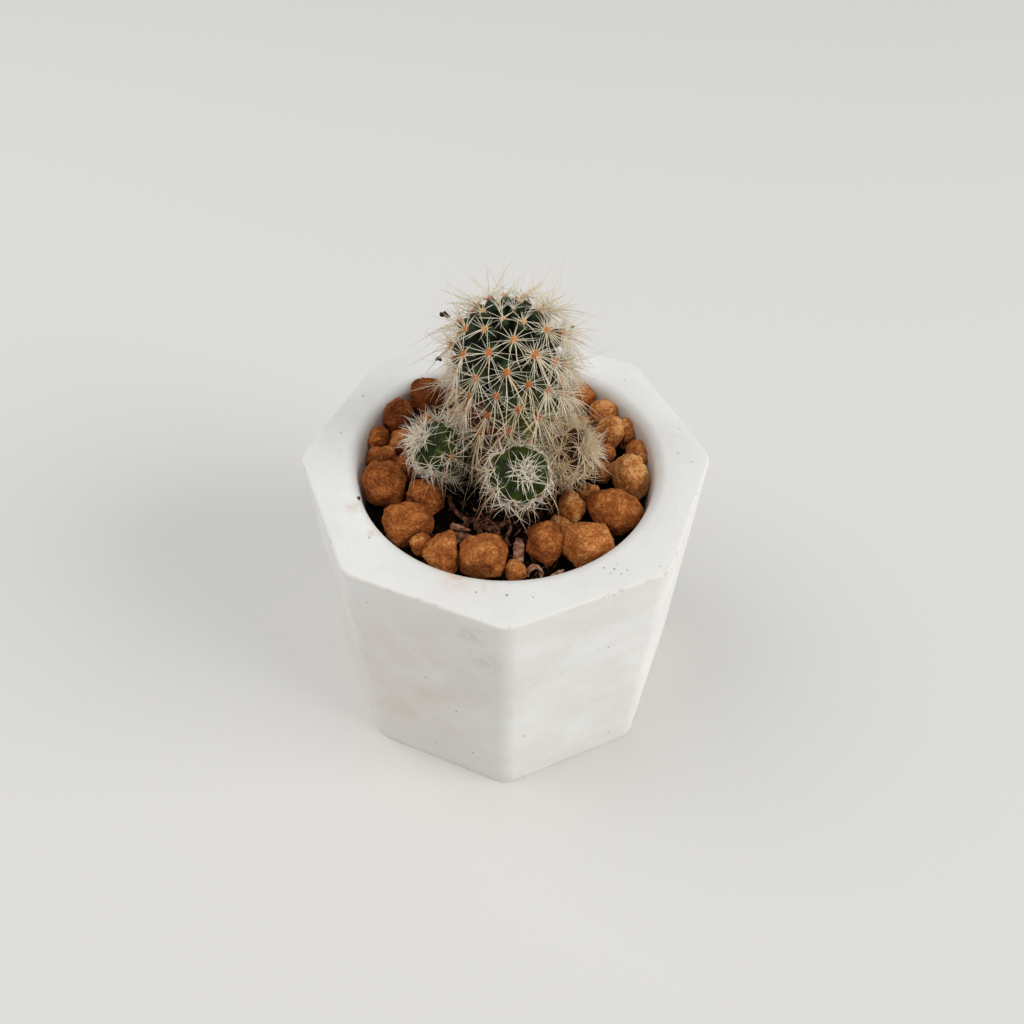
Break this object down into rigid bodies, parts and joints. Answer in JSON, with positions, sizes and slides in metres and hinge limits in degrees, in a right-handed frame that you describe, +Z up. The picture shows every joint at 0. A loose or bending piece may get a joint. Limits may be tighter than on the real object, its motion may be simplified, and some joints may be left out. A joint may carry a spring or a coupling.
{
  "type": "potted cactus",
  "caption": "Small clustering cactus with a short columnar spiny stem and round offsets, in soil dressed with clay granules, in an eight-sided cast pot with a round mouth.",
  "frame": {"origin": "middle of the pot's base, on the surface it stands on", "axes": "+Z up along the pot's axis; -Y to the corner of the pot that faces the viewer, with one offset in front of the main stem; +X to the viewer's right"},
  "size_m": [0.075, 0.075, 0.0878],
  "materials": {
    "cast_concrete": "matte",
    "potting_soil": "matte",
    "stem_skin": "satin",
    "offset_skin": "satin",
    "baked_clay": "matte",
    "bark": "matte",
    "dry_husk": "matte",
    "withered_skin": "matte",
    "spine": "satin",
    "areole_wool": "matte"
  },
  "bodies": {
    "root": {"bark_chip": "dry_husk", "bark_flake": "bark", "front_offset": "offset_skin", "granule_01": "baked_clay", "granule_02": "baked_clay", "granule_03": "baked_clay", "granule_04": "baked_clay", "granule_05": "baked_clay", "granule_06": "baked_clay", "granule_07": "baked_clay", "granule_08": "baked_clay", "granule_09": "baked_clay", "granule_10": "baked_clay", "granule_11": "baked_clay", "granule_12": "baked_clay", "granule_13": "baked_clay", "granule_14": "baked_clay", "granule_15": "baked_clay", "granule_16": "baked_clay", "granule_17": "baked_clay", "granule_18": "baked_clay", "granule_19": "baked_clay", "granule_20": "baked_clay", "granule_21": "baked_clay", "granule_22": "baked_clay", "granule_23": "baked_clay", "granule_24": "baked_clay", "granule_25": "baked_clay", "granule_26": "baked_clay", "granule_27": "baked_clay", "granule_28": "baked_clay", "granule_29": "baked_clay", "granule_30": "baked_clay", "granule_31": "baked_clay", "granule_32": "baked_clay", "granule_33": "baked_clay", "granule_34": "baked_clay", "granule_35": "baked_clay", "granule_36": "baked_clay", "granule_37": "baked_clay", "granule_38": "baked_clay", "husk": "dry_husk", "left_offset": "offset_skin", "main_stem": "stem_skin", "pale_flake": "dry_husk", "pot": "cast_concrete", "right_offset": "offset_skin", "rootlet": "bark", "sliver": "dry_husk", "soil": "potting_soil", "twig": "bark", "withered_offset": "withered_skin"}
  },
  "joints": []
}
